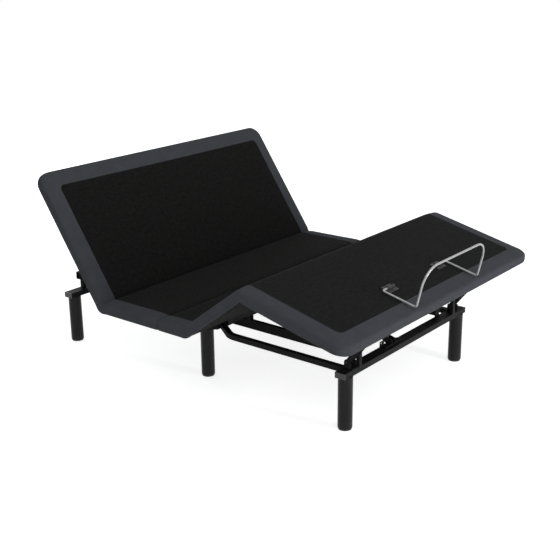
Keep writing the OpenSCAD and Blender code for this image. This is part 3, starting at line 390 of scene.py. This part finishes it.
# Lengths from a hinge to the next one, to the seam in the seat or to the free end
SEAT_HEAD, SEAT_FOOT = 0.346, 0.152
THIGH, CALF, BACK = 0.358, 0.511, 0.665
# Corner radius in plan, and the rounding of the upper and the lower edge
CORNER = 0.065
EDGE_TOP, EDGE_BOTTOM = 0.016, 0.012
EDGE_STEPS_TOP, EDGE_STEPS_BOTTOM = 5, 4
SIDE_DEPTHS = (0.023, 0.0305, THICKNESS - EDGE_BOTTOM)
# Width of the lower hem; at the seam in the seat, how far its edges draw in, hem and half gap
RIM = 0.0217
SEAM_DRAW, SEAM_RIM, SEAM_GAP = 0.003, 0.0117, 0.0003
# The underside takes its cloth pattern from beyond the field, so it is all border knit
UNDERSIDE_SHIFT = 3.0
# Lattice spacing, and the rings below the top's edge that the simulation moves
STEP = 0.022
SOFT_RINGS = EDGE_STEPS_TOP + len(SIDE_DEPTHS)
# Simulation: how far the cloth starts in, and moves out at the most
SLACK = 0.0035
SIM_FRAMES = 20
CLOTH_SETTINGS = {
    "vertex_group_mass": "pin", "quality": 4, "mass": 0.25,
    "tension_stiffness": 12.0, "compression_stiffness": 12.0,
    "shear_stiffness": 4.0, "bending_stiffness": 0.8,
    "use_pressure": True, "uniform_pressure_force": 4.0,
}
# Swells of the cloth: number, height, times as high on the sides, random seeds
SWELLS = 14
SWELL_HEIGHT = 0.0011
SIDE_SWELL = 1.2
HEAD_SEED, FOOT_SEED = 11, 12
# The depths of top and sides that swell, and how near the edge the sides begin
TOP_SKIN, SIDE_SKIN, SIDE_BAND = 0.003, (0.006, 0.045), 0.005
# The bends at rest, from the joints' lower limits, where the deck is flat
BACK_ANGLE = -math.radians(JOINTS["back_hinge"]["range_deg"][0])
THIGH_ANGLE = -math.radians(JOINTS["thigh_hinge"]["range_deg"][0])
CALF_DROP = math.radians(13.5)
KNEE_ANGLE = THIGH_ANGLE + CALF_DROP
KNEE_ARC = THICKNESS * KNEE_ANGLE
KNEE_CORE = 0.0015
BACK_AXIS, THIGH_AXIS, KNEE_AXIS = (
    np.array(JOINTS[n]["pos_m"][1:]) for n in ("back_hinge", "thigh_hinge", "knee_hinge")
)
# Half lengths over which the cloth bends
BACK_ZONE, THIGH_ZONE = 0.030, 0.024
FOLD_LINES = 5
KNEE_STEPS = 8
# Depth of the cover's inner skin over the hinges, in the fold between them and at the knee
HINGE_PLACES = (-0.45, 0.0, 0.45)
HINGE_HALF, HINGE_REACH, HINGE_CEILING = 0.062, 0.066, 0.0272
FOLD_REACH, FOLD_CEILING = 0.0121, 0.019
KNEE_START, KNEE_REACH, KNEE_CEILING = 0.3462, 0.0535, 0.041
# Where the thigh's piece of the foot cover ends and the calf's begins
SPLIT = 0.150
HAIR = 0.0001
TINY = 1e-9


def smooth(t):
    t = np.clip(t, 0.0, 1.0)
    return t * t * (3.0 - 2.0 * t)


def turned(v, angle):
    c, s = np.cos(angle), np.sin(angle)
    return np.stack([v[..., 0] * c - v[..., 1] * s, v[..., 0] * s + v[..., 1] * c], -1)


def bend_head(s, t):
    """Y and z, at rest, of a point of the head strip: seat at s < 0, back at s > 0."""
    flat = np.stack([s, AXIS_DEPTH - t], -1)
    return BACK_AXIS + turned(flat, BACK_ANGLE * smooth((s + BACK_ZONE) / (2 * BACK_ZONE)))


def bend_foot(s, t):
    """The same for the foot strip: seat at s < 0, then thigh, knee arc and calf."""
    near = THIGH_AXIS + turned(
        np.stack([-s, AXIS_DEPTH - t], -1),
        -THIGH_ANGLE * smooth((s + THIGH_ZONE) / (2 * THIGH_ZONE)),
    )
    fan = np.clip((s - THIGH) / KNEE_ARC, 0.0, 1.0) * KNEE_ANGLE
    past = np.maximum(s - THIGH - KNEE_ARC, 0.0)
    far = KNEE_AXIS + turned(
        np.stack([-past, np.maximum(THICKNESS - t, KNEE_CORE * (past < TINY))], -1),
        fan - THIGH_ANGLE,
    )
    return np.where((s > THIGH)[..., None], far, near)


def lines(*stops):
    """Lattice lines through the given stops, about STEP apart."""
    out = [stops[0]]
    for a, b in zip(stops, stops[1:]):
        count = max(1, round((b - a) / STEP))
        out += [a + (b - a) * i / count for i in range(1, count + 1)]
    return out


def fold_lines(zone):
    return [zone * k / FOLD_LINES for k in range(-FOLD_LINES, FOLD_LINES + 1)]


class Strip:
    """A padded strip with one sewn end at s = start and a free, rounded end at s = stop."""

    PATCH = 5

    def __init__(self, start, stop, folds):
        inner = HALF_WIDTH - CORNER
        xs = lines(-inner, *HINGE_PLACES, inner)
        ss = sorted(set(round(v, 6) for v in lines(*sorted([start, *folds, stop - CORNER]))))
        self.start = start
        self.cols = len(xs) + 2 * self.PATCH
        self.rows = len(ss) + self.PATCH
        self.xs, self.ss = xs, ss
        # Rings from the top's edge down and under: side inset, seam inset, depth
        rings = [(EDGE_TOP, SEAM_DRAW, 0.0)]
        for k in range(1, EDGE_STEPS_TOP + 1):
            a = math.radians(90 / EDGE_STEPS_TOP * k)
            inset = 1 - math.sin(a)
            rings.append((EDGE_TOP * inset, SEAM_DRAW * inset, EDGE_TOP * (1 - math.cos(a))))
        rings += [(0.0, 0.0, depth) for depth in SIDE_DEPTHS]
        for k in range(1, EDGE_STEPS_BOTTOM + 1):
            a = math.radians(90 / EDGE_STEPS_BOTTOM * k)
            inset = 1 - math.cos(a)
            rings.append((EDGE_BOTTOM * inset, SEAM_DRAW * inset,
                          THICKNESS - EDGE_BOTTOM * (1 - math.sin(a))))
        rings += [(RIM, SEAM_RIM, THICKNESS), (RIM, SEAM_RIM, BOARD_DEPTH)]
        self.rings = rings
        way = [0.0]
        for (e0, _, t0), (e1, _, t1) in zip(rings, rings[1:]):
            way.append(way[-1] + math.hypot(e1 - e0, t1 - t0))
        self.way = way  # of each ring, along the cloth from the top's edge
        self.build()

    def plan(self, i, j, side, seam):
        """Plan place of lattice point (i, j) when the outline is inset."""
        last = self.cols - 1
        fx, sign = 0.0, 0
        if i < self.PATCH:
            fx, sign = (self.PATCH - i) / self.PATCH, -1
        elif i > last - self.PATCH:
            fx, sign = (i - last + self.PATCH) / self.PATCH, 1
        x = self.xs[min(max(i - self.PATCH, 0), len(self.xs) - 1)]
        fy = max(0, j - len(self.ss) + 1) / self.PATCH
        s = self.ss[min(j, len(self.ss) - 1)]
        if j == 0:
            s = self.start + seam
        reach = CORNER - side
        if fx > 0 and fy > 0:
            r = max(fx, fy)
            eighth = math.pi / 4
            angle = eighth * fy / fx if fx >= fy else 2 * eighth - eighth * fx / fy
            return x + sign * math.cos(angle) * r * reach, s + math.sin(angle) * r * reach
        return x + sign * fx * reach, s + fy * reach

    def build(self):
        """Points, cloth coordinates and faces: the top, the rings round it and the underside."""
        cols, rows = self.cols, self.rows
        grid = [(i, j) for j in range(rows) for i in range(cols)]
        loop = (
            [(i, 0) for i in range(cols)]
            + [(cols - 1, j) for j in range(1, rows)]
            + [(i, rows - 1) for i in range(cols - 2, -1, -1)]
            + [(0, j) for j in range(rows - 2, 0, -1)]
        )
        points, cloth = [], []
        for i, j in grid:
            x, s = self.plan(i, j, *self.rings[0][:2])
            points.append((x, s, 0.0))
            cloth.append((x, s, 0.0))
        edge = {key: cloth[key[1] * cols + key[0]] for key in loop}
        for (side, seam, t), way in zip(self.rings[1:], self.way[1:]):
            for i, j in loop:
                x, s = self.plan(i, j, side, seam)
                points.append((x, s, t))
                ox, os = self.plan(i, j, 0.0, 0.0)
                ex, es, _ = edge[(i, j)]
                out = Vector((ox - ex, os - es, 0.0))
                out = out.normalized() if out.length > TINY else out
                cloth.append((ex + out.x * way, es + out.y * way, 0.0))
        base = len(points)
        interior = [(i, j) for i, j in grid if 0 < i < cols - 1 and 0 < j < rows - 1]
        for i, j in interior:
            x, s = self.plan(i, j, RIM, SEAM_RIM)
            points.append((x, s, self.ceiling(x, s)))
            cloth.append((x, s + UNDERSIDE_SHIFT, 0.0))
        n = len(loop)
        top = {key: key[1] * cols + key[0] for key in grid}
        ring = [{key: top[key] for key in loop}]
        for k in range(1, len(self.rings)):
            first = cols * rows + (k - 1) * n
            ring.append({key: first + m for m, key in enumerate(loop)})
        below = dict(ring[-1])
        below.update({key: base + m for m, key in enumerate(interior)})
        self.faces, self.face_row = [], []

        def face(corners, row):
            self.faces.append(corners)
            self.face_row.append(row)

        for j in range(rows - 1):
            for i in range(cols - 1):
                quad = [(i, j), (i + 1, j), (i + 1, j + 1), (i, j + 1)]
                face([top[q] for q in quad], j)
                face([below[q] for q in reversed(quad)], j)
        for upper, lower in zip(ring, ring[1:]):
            for m in range(n):
                a, b = loop[m], loop[(m + 1) % n]
                face([upper[b], upper[a], lower[a], lower[b]], min(a[1], b[1]))
        self.points = np.array(points)
        self.cloth = np.array(cloth)
        self.top, self.ring, self.below, self.loop = top, ring, below, loop
        self.soft_count = cols * rows + n * SOFT_RINGS

    def ceiling(self, x, s):
        """Depth of the cover's inner skin at a place."""
        if abs(s) < FOLD_REACH:
            return FOLD_CEILING
        hinge = min(abs(x - h) for h in HINGE_PLACES) < HINGE_HALF
        return HINGE_CEILING if hinge and abs(s) < HINGE_REACH else BOARD_DEPTH


class FootStrip(Strip):
    """The strip over thigh and calf, whose inner skin lies deeper at the knee."""

    def ceiling(self, x, s):
        if KNEE_START < s < THIGH + KNEE_ARC + KNEE_REACH:
            return KNEE_CEILING
        return super().ceiling(x, s)


def inflate(strip, name):
    """Blows the strip's top and sides up with Blender's cloth, from a slightly smaller start."""
    points = strip.points.copy()
    count = strip.soft_count
    start = points.copy()
    start[: strip.cols * strip.rows, 2] += SLACK
    top_edge = np.clip((EDGE_TOP - points[:count, 2]) / EDGE_TOP, 0, 1)
    start[:count, 2] = np.maximum(start[:count, 2], points[:count, 2] + SLACK * top_edge)
    faces = [f for f in strip.faces if max(f) < count]
    mesh = bpy.data.meshes.new(name)
    mesh.from_pydata([(x, s, -t) for x, s, t in start[:count]], [], faces)
    obj = bpy.data.objects.new(name, mesh)
    scene.collection.objects.link(obj)
    pins = obj.vertex_groups.new(name="pin")
    held = [k for k in range(count) if points[k, 2] > BOARD_DEPTH]
    sewn = [key for key in strip.loop if key[1] == 0]
    held += [ring[key] for ring in strip.ring[1:SOFT_RINGS + 1] for key in sewn]
    held += [strip.top[(i, 0)] for i in range(strip.cols)]
    pins.add(sorted(set(held)), 1.0, "REPLACE")
    cloth = obj.modifiers.new("cloth", "CLOTH")
    setting = cloth.settings
    for key, value in CLOTH_SETTINGS.items():
        setattr(setting, key, value)
    setting.effector_weights.gravity = 0.0
    cloth.collision_settings.use_collision = False
    for step in range(1, SIM_FRAMES + 1):
        scene.frame_set(step)
    final = obj.evaluated_get(bpy.context.evaluated_depsgraph_get()).to_mesh()
    moved = np.empty(count * 3)
    final.vertices.foreach_get("co", moved)
    moved = moved.reshape(-1, 3)
    scene.frame_set(1)
    bpy.data.objects.remove(obj)
    moved = np.stack([moved[:, 0], moved[:, 1], -moved[:, 2]], -1)
    shift = moved - start[:count]
    size = np.linalg.norm(shift, axis=1, keepdims=True)
    shift *= SLACK * (1.0 - np.exp(-size / SLACK)) / np.maximum(size, TINY)
    out = points.copy()
    out[:count] = start[:count] + shift
    flat = points[:count, 2] < TINY
    out[:count, 2][flat] = np.maximum(out[:count, 2][flat], 0.0)
    return out


def cloth_object(name, strip, points, bend, rows, finish):
    """One piece of a strip, from row to row, closed at its cut ends."""
    first, last = rows
    whole = last == strip.rows - 1
    faces = [f for f, r in zip(strip.faces, strip.face_row) if first <= r and (r < last or whole)]
    caps = []
    sides = [dict(ring) for ring in strip.ring]
    for cut in (first, last):
        if cut in (0, strip.rows - 1):
            continue
        cols = strip.cols
        for i in range(cols - 1):
            quad = [strip.top[(i, cut)], strip.top[(i + 1, cut)],
                    strip.below[(i + 1, cut)], strip.below[(i, cut)]]
            caps.append(quad if cut == first else quad[::-1])
        for i in (0, cols - 1):
            outline = [ring[(i, cut)] for ring in sides]
            flip = (i == 0) == (cut == first)
            caps.append(outline if flip else outline[::-1])
    used = sorted({v for f in faces + caps for v in f})
    index = {v: k for k, v in enumerate(used)}
    chosen = points[used]
    yz = bend(chosen[:, 1], chosen[:, 2])
    coords = np.stack([chosen[:, 0], yz[:, 0], yz[:, 1]], -1)
    mesh = bpy.data.meshes.new(name)
    mesh.from_pydata(coords.tolist(), [], [[index[v] for v in f] for f in faces + caps])
    attribute = mesh.attributes.new("cloth", "FLOAT_VECTOR", "POINT")
    attribute.data.foreach_set("vector", strip.cloth[used].astype(np.float32).ravel())
    cap_edges = {tuple(sorted((index[a], index[b])))
                 for f in caps for a, b in zip(f, f[1:] + f[:1])}
    rim = {tuple(sorted((index[ring[a]], index[ring[b]])))
           for ring in strip.ring[-2:]
           for a, b in zip(strip.loop, strip.loop[1:] + strip.loop[:1])
           if ring[a] in index and ring[b] in index}
    crease = mesh.attributes.new("crease_edge", "FLOAT", "EDGE")
    sharp = mesh.attributes.new("sharp_edge", "BOOLEAN", "EDGE")
    for edge in mesh.edges:
        key = tuple(sorted(edge.vertices))
        if key in cap_edges or key in rim:
            crease.data[edge.index].value = 1.0
            sharp.data[edge.index].value = True
    mesh.polygons.foreach_set("use_smooth", [True] * len(mesh.polygons))
    obj = bpy.data.objects.new(name, mesh)
    scene.collection.objects.link(obj)
    dress(obj, finish)
    step = obj.modifiers.new("subdivide", "SUBSURF")
    step.levels = step.render_levels = 1
    graph = bpy.context.evaluated_depsgraph_get()
    final = bpy.data.meshes.new_from_object(obj.evaluated_get(graph))
    obj.modifiers.clear()
    obj.data = final
    return obj


def ripple(strip, points, seed):
    """Slow swells and small puckers that no real cover is without."""
    rng = np.random.default_rng(seed)
    out = points.copy()
    soft = strip.soft_count
    x, s = strip.cloth[:soft, 0], strip.cloth[:soft, 1]
    swell = np.zeros(soft)
    for _ in range(SWELLS):
        length = rng.uniform(0.09, 0.35)
        angle = rng.uniform(0.0, math.pi)
        phase = rng.uniform(0.0, 2 * math.pi)
        way = x * math.cos(angle) + s * math.sin(angle)
        swell += np.sin(2 * math.pi * way / length + phase) * length
    swell *= SWELL_HEIGHT / np.abs(swell).max()
    depth = points[:soft, 2]
    out[:soft, 2] += np.where(depth < TOP_SKIN, np.abs(swell), 0.0)
    side = (depth > SIDE_SKIN[0]) & (depth < SIDE_SKIN[1]) & (np.abs(x) > HALF_WIDTH - SIDE_BAND)
    out[:soft, 0] -= np.sign(x) * np.where(side, np.abs(swell) * SIDE_SWELL, 0.0)
    return out


HEAD_FIELD_END = BACK - BORDER
FOOT_FIELD_END = THIGH + KNEE_ARC + CALF - BORDER
# Both strips use one cloth. The foot strip's field is painted a shade lighter, a lit copy that stands in for
# brighter light on thigh and calf
head_cloth = upholstery("head_upholstery", HEAD_FIELD_END,
                        (0.0035, 0.0035, 0.0035), (0.0115, 0.0112, 0.0105))
foot_cloth_painted_lighter = upholstery("foot_upholstery_painted_lighter", FOOT_FIELD_END,
                        (0.0040, 0.0043, 0.0041), (0.0115, 0.0120, 0.0113))

head_strip = Strip(-SEAT_HEAD + SEAM_GAP, BACK,
                   [*fold_lines(BACK_ZONE), -HINGE_REACH, HINGE_REACH])
foot_strip = FootStrip(
    -SEAT_FOOT + SEAM_GAP, THIGH + KNEE_ARC + CALF,
    [*fold_lines(THIGH_ZONE), -HINGE_REACH, HINGE_REACH, SPLIT,
     KNEE_START - HAIR, KNEE_START + HAIR,
     *[THIGH + KNEE_ARC * k / KNEE_STEPS for k in range(KNEE_STEPS + 1)],
     THIGH + KNEE_ARC + KNEE_REACH - HAIR, THIGH + KNEE_ARC + KNEE_REACH + HAIR],
)
head_points = ripple(head_strip, inflate(head_strip, "head_cloth_sim"), HEAD_SEED)
foot_points = ripple(foot_strip, inflate(foot_strip, "foot_cloth_sim"), FOOT_SEED)
cut_row = next(j for j, s in enumerate(foot_strip.ss) if s > SPLIT - HAIR)

head_pad = cloth_object("head_upholstery", head_strip, head_points, bend_head,
                        (0, head_strip.rows - 1), head_cloth)
thigh_pad = cloth_object("thigh_upholstery", foot_strip, foot_points, bend_foot,
                         (0, cut_row), foot_cloth_painted_lighter)
calf_pad = cloth_object("calf_upholstery", foot_strip, foot_points, bend_foot,
                        (cut_row, foot_strip.rows - 1), foot_cloth_painted_lighter)


def blend_at(pad):
    """Bakes the pad's placement into its mesh."""
    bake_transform(pad)


blend_at(head_pad)
blend_at(thigh_pad)
blend_at(calf_pad)
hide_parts("seat_covers", "seat_tops", "back_cover", "back_top")
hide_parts("thigh_cover", "thigh_top")
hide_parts("calf_cover", "calf_top")

# ---------------------------------------------------------------------------------------------
# Floor, world and lamps

FLOOR_REACH = 14.0
# The floor's own glow, as seen: its strength round the object, and where it rises to white
GLOW_NEAR = 0.74
GLOW_START, GLOW_FULL = 2.2, 4.5
# The sky that lights the object; a seen ray meets plain white instead
SKY = (0.95, 0.97, 1.0, 1.0)
DIM_SKY = 0.42
# Lamps: name, place, aim, size and power in watts
LAMPS = (
    ("key", (-3.0, -2.6, 4.2), (0.0, 0.0, 0.4), (3.2, 3.2), 72.0),
    ("foot", (0.9, -3.4, 0.22), (0.0, -0.6, 0.25), (1.9, 0.4), 20.0),
    ("softbox", (0.4, -5.0, 1.0), (0.0, -0.4, 0.2), (0.7, 1.8), 90.0),
    ("near", (-3.2, -1.6, 0.12), (-0.6, -0.2, 0.35), (2.4, 0.3), 9.0),
    ("rear", (1.2, 4.6, 1.2), (0.0, 0.4, 0.4), (2.2, 1.6), 48.0),
    ("top", (0.4, 1.6, 5.0), (0.0, 0.2, 0.4), (4.0, 4.0), 14.0),
)


def add_floor():
    s = Shader("pale_floor")
    seen = s.seen_ray()
    grain = s.noise(s.place(), 3.0, 2.0)
    tint = s.mix(s.spread(grain, *NOISE_BAND), (0.80, 0.80, 0.80), (0.82, 0.82, 0.82))
    diffuse = s.add("ShaderNodeBsdfDiffuse", {"Color": tint})
    x, y, _ = s.split(s.place())
    reach = s.math("SQRT", s.math("ADD", s.math("POWER", x, 2.0), s.math("POWER", y, 2.0)))
    far = s.spread(reach, GLOW_START, GLOW_FULL, GLOW_NEAR, 1.0)
    glow = s.add("ShaderNodeEmission", {"Strength": s.math("MULTIPLY", seen, far)})
    pale = s.close(s.pair("ShaderNodeAddShader", diffuse.outputs[0], glow.outputs[0]))
    mesh = bpy.data.meshes.new("floor")
    signs = ((-1, -1), (1, -1), (1, 1), (-1, 1))
    corners = [(a * FLOOR_REACH, b * FLOOR_REACH, 0) for a, b in signs]
    mesh.from_pydata(corners, [], [(0, 1, 2, 3)])
    mesh.materials.append(pale)
    floor = bpy.data.objects.new("floor", mesh)
    scene.collection.objects.link(floor)


def add_world():
    s = Shader("studio", world=True)
    dim = s.add("ShaderNodeBackground", {"Color": SKY, "Strength": DIM_SKY})
    white = s.add("ShaderNodeBackground", {"Color": (1.0, 1.0, 1.0, 1.0)})
    mix = s.add("ShaderNodeMixShader", {0: s.seen_ray(), 1: dim.outputs[0], 2: white.outputs[0]})
    scene.world = s.close(mix.outputs[0])


def add_lamp(name, place, aim, size, power):
    data = bpy.data.lights.new(name, "AREA")
    data.shape = "RECTANGLE"
    data.size, data.size_y = size
    data.energy = power
    lamp = bpy.data.objects.new(name, data)
    scene.collection.objects.link(lamp)
    lamp.location = place
    lamp.visible_camera = False
    lamp.rotation_euler = (Vector(aim) - Vector(place)).to_track_quat("-Z", "Y").to_euler()


add_floor()
add_world()
for lamp in LAMPS:
    add_lamp(*lamp)

scene.view_settings.view_transform = "Standard"
